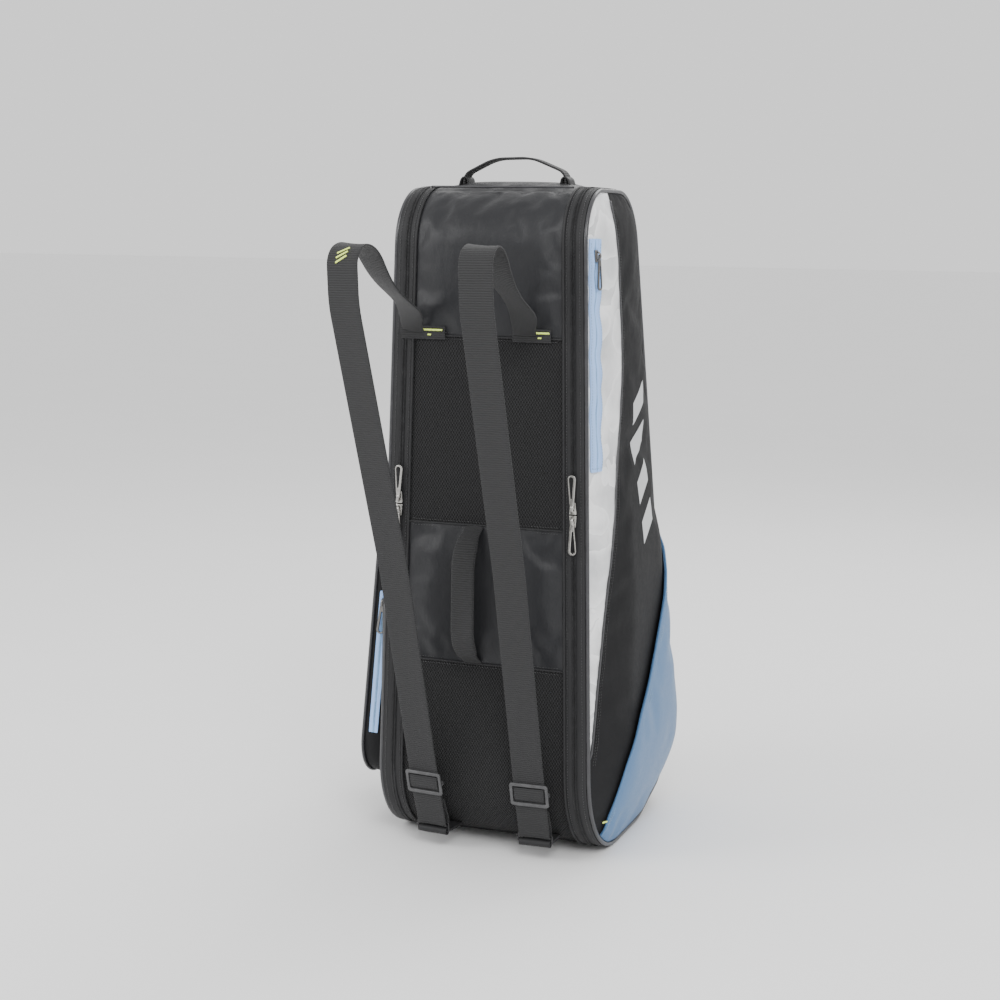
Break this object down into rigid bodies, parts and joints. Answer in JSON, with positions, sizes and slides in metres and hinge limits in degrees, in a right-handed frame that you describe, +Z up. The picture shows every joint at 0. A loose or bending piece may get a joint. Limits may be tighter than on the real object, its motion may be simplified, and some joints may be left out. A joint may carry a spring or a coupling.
{
  "type": "racket tournament bag",
  "caption": "Standing racket bag: two zipped compartments, webbing shoulder straps, grab and top handles, side pockets.",
  "frame": {"origin": "centre of the flat base, on the floor, half way between the two sides", "axes": "+Z up along the strap panel, -Y out of the strap panel, +X to the right of someone facing the straps"},
  "size_m": [0.328, 0.5258, 0.8138],
  "materials": {
    "coated_panel": "coated polyester, soft sheen",
    "spacer_mesh": "open spacer mesh",
    "lining": "matt woven lining",
    "base_board": "matt board",
    "zip_tape": "woven tape with coil",
    "silver_panel": "pearl coated, lightly crinkled",
    "blue_panel": "coated, soft sheen",
    "blue_zip": "woven zip cover",
    "piping": "shiny cord edging",
    "webbing": "ribbed webbing",
    "bar_tack": "dense stitches",
    "buckle_plastic": "satin moulded",
    "zip_metal": "dark nickel"
  },
  "bodies": {
    "core": {"back_top_panel": "coated_panel", "back_upper_mesh": "spacer_mesh", "back_grab_panel": "coated_panel", "back_lower_mesh": "spacer_mesh", "top_gusset": "coated_panel", "front_gusset": "coated_panel", "bottom_gusset": "coated_panel", "core_lining": "lining", "base_board": "base_board", "centre_divider": "lining", "left_inner_zip_tape": "zip_tape", "right_inner_zip_tape": "zip_tape", "strap_anchors": "webbing", "ring_tabs": "webbing", "top_handle_ends": "webbing", "grab_handle_ends": "webbing", "bar_tacks": "bar_tack"},
    "right_door": {"right_side_panel": "coated_panel", "right_silver_panel": "silver_panel", "right_pocket_zip": "blue_zip", "right_front_pocket": "blue_panel", "right_outer_zip_tape": "zip_tape", "right_piping": "piping", "right_lining": "lining"},
    "left_door": {"left_side_panel": "coated_panel", "left_silver_panel": "silver_panel", "left_outer_zip_tape": "zip_tape", "left_piping": "piping", "left_lining": "lining", "left_pocket_gusset": "coated_panel", "left_pocket_zip": "blue_zip", "left_pocket_face": "coated_panel", "left_pocket_piping": "piping"},
    "left_upper_slider": {"left_upper_slider": "zip_metal"},
    "left_upper_pull": {"left_upper_pull": "zip_metal"},
    "left_lower_slider": {"left_lower_slider": "zip_metal"},
    "left_lower_pull": {"left_lower_pull": "zip_metal"},
    "right_upper_slider": {"right_upper_slider": "zip_metal"},
    "right_upper_pull": {"right_upper_pull": "zip_metal"},
    "right_lower_slider": {"right_lower_slider": "zip_metal"},
    "right_lower_pull": {"right_lower_pull": "zip_metal"},
    "right_pocket_slider": {"right_pocket_slider": "zip_metal"},
    "right_pocket_pull": {"right_pocket_pull": "zip_metal"},
    "left_pocket_slider": {"left_pocket_slider": "zip_metal"},
    "left_pocket_pull": {"left_pocket_pull": "zip_metal"},
    "left_strap": {"left_shoulder_strap": "webbing", "left_strap_end": "webbing", "left_strap_fold": "webbing"},
    "left_adjuster": {"left_adjuster": "buckle_plastic"},
    "left_ring": {"left_strap_ring": "buckle_plastic"},
    "right_strap": {"right_shoulder_strap": "webbing", "right_strap_end": "webbing", "right_strap_fold": "webbing"},
    "right_adjuster": {"right_adjuster": "buckle_plastic"},
    "right_ring": {"right_strap_ring": "buckle_plastic"},
    "top_handle": {"top_handle": "webbing"},
    "grab_handle": {"grab_handle": "webbing"}
  },
  "joints": [
    {"name": "right_door_hinge", "type": "hinge", "parent": "core", "child": "right_door", "pos_m": [0.1327, 0.20727, 0], "axis": [-0.0257, -0.2141, 0.9765], "range_deg": [0, 70]},
    {"name": "left_door_hinge", "type": "hinge", "parent": "core", "child": "left_door", "pos_m": [-0.1327, 0.20727, 0], "axis": [-0.0257, 0.2141, -0.9765], "range_deg": [0, 70]},
    {"name": "left_upper_slider_run", "type": "slide", "parent": "core", "child": "left_upper_slider", "axis": [0.0241, 0, 0.9997], "range_m": [0, 0.2697]},
    {"name": "left_upper_pull_hinge", "type": "hinge", "parent": "left_upper_slider", "child": "left_upper_pull", "pos_m": [-0.10663, -0.1563, 0.4204], "axis": [0.9997, 0, -0.0241], "range_deg": [0, 150]},
    {"name": "left_lower_slider_run", "type": "slide", "parent": "core", "child": "left_lower_slider", "axis": [-0.0241, 0, -0.9997], "range_m": [0, 0.2857]},
    {"name": "left_lower_pull_hinge", "type": "hinge", "parent": "left_lower_slider", "child": "left_lower_pull", "pos_m": [-0.10699, -0.1563, 0.4056], "axis": [-0.9997, 0, 0.0241], "range_deg": [0, 150]},
    {"name": "right_upper_slider_run", "type": "slide", "parent": "core", "child": "right_upper_slider", "axis": [-0.0241, 0, 0.9997], "range_m": [0, 0.2697]},
    {"name": "right_upper_pull_hinge", "type": "hinge", "parent": "right_upper_slider", "child": "right_upper_pull", "pos_m": [0.10663, -0.1563, 0.4204], "axis": [0.9997, 0, 0.0241], "range_deg": [0, 150]},
    {"name": "right_lower_slider_run", "type": "slide", "parent": "core", "child": "right_lower_slider", "axis": [0.0241, 0, -0.9997], "range_m": [0, 0.2857]},
    {"name": "right_lower_pull_hinge", "type": "hinge", "parent": "right_lower_slider", "child": "right_lower_pull", "pos_m": [0.10699, -0.1563, 0.4056], "axis": [-0.9997, 0, -0.0241], "range_deg": [0, 150]},
    {"name": "right_pocket_slider_run", "type": "slide", "parent": "right_door", "child": "right_pocket_slider", "axis": [0.0331, 0, -0.9995], "range_m": [0, 0.228]},
    {"name": "right_pocket_pull_hinge", "type": "hinge", "parent": "right_pocket_slider", "child": "right_pocket_pull", "pos_m": [0.12537, -0.1325, 0.70317], "axis": [0, -1, 0], "range_deg": [0, 120]},
    {"name": "left_pocket_slider_run", "type": "slide", "parent": "left_door", "child": "left_pocket_slider", "axis": [-0.0844, 0, -0.9964], "range_m": [0, 0.148]},
    {"name": "left_pocket_pull_hinge", "type": "hinge", "parent": "left_pocket_slider", "child": "left_pocket_pull", "pos_m": [-0.14177, -0.1215, 0.286], "axis": [-0.9964, 0, 0.0844], "range_deg": [0, 120]},
    {"name": "left_strap_swing", "type": "hinge", "parent": "core", "child": "left_strap", "pos_m": [-0.07, -0.156, 0.612], "axis": [-0.0102, 0, 0.9999], "range_deg": [-10.5, 25.5], "deforming": ["left_strap_end", "left_strap_fold"]},
    {"name": "left_adjuster_slide", "type": "slide", "parent": "left_strap", "child": "left_adjuster", "axis": [-0.0429, -0.2508, 0.9671], "range_m": [0, 0.18]},
    {"name": "left_ring_hinge", "type": "hinge", "parent": "core", "child": "left_ring", "pos_m": [-0.0627, -0.14609, 0.02204], "axis": [0.9914, -0.1305, 0.0101], "range_deg": [-4, 8]},
    {"name": "right_strap_swing", "type": "hinge", "parent": "core", "child": "right_strap", "pos_m": [0.058, -0.156, 0.612], "axis": [-0.0136, 0, 0.9999], "range_deg": [-18, 18], "deforming": ["right_strap_end", "right_strap_fold"]},
    {"name": "right_adjuster_slide", "type": "slide", "parent": "right_strap", "child": "right_adjuster", "axis": [-0.0131, -0.253, 0.9674], "range_m": [0, 0.18]},
    {"name": "right_ring_hinge", "type": "hinge", "parent": "core", "child": "right_ring", "pos_m": [0.066, -0.146, 0.02205], "axis": [0.9999, 0, 0.0136], "range_deg": [-4, 8]},
    {"name": "top_handle_hinge", "type": "hinge", "parent": "core", "child": "top_handle", "pos_m": [0, -0.06, 0.783], "axis": [1, 0, 0], "range_deg": [-40, 40], "deforming": ["top_handle_ends"]},
    {"name": "grab_handle_hinge", "type": "hinge", "parent": "core", "child": "grab_handle", "pos_m": [-0.013, -0.154, 0.3115], "axis": [0, 0, 1], "range_deg": [-40, 40], "deforming": ["grab_handle_ends"]}
  ]
}
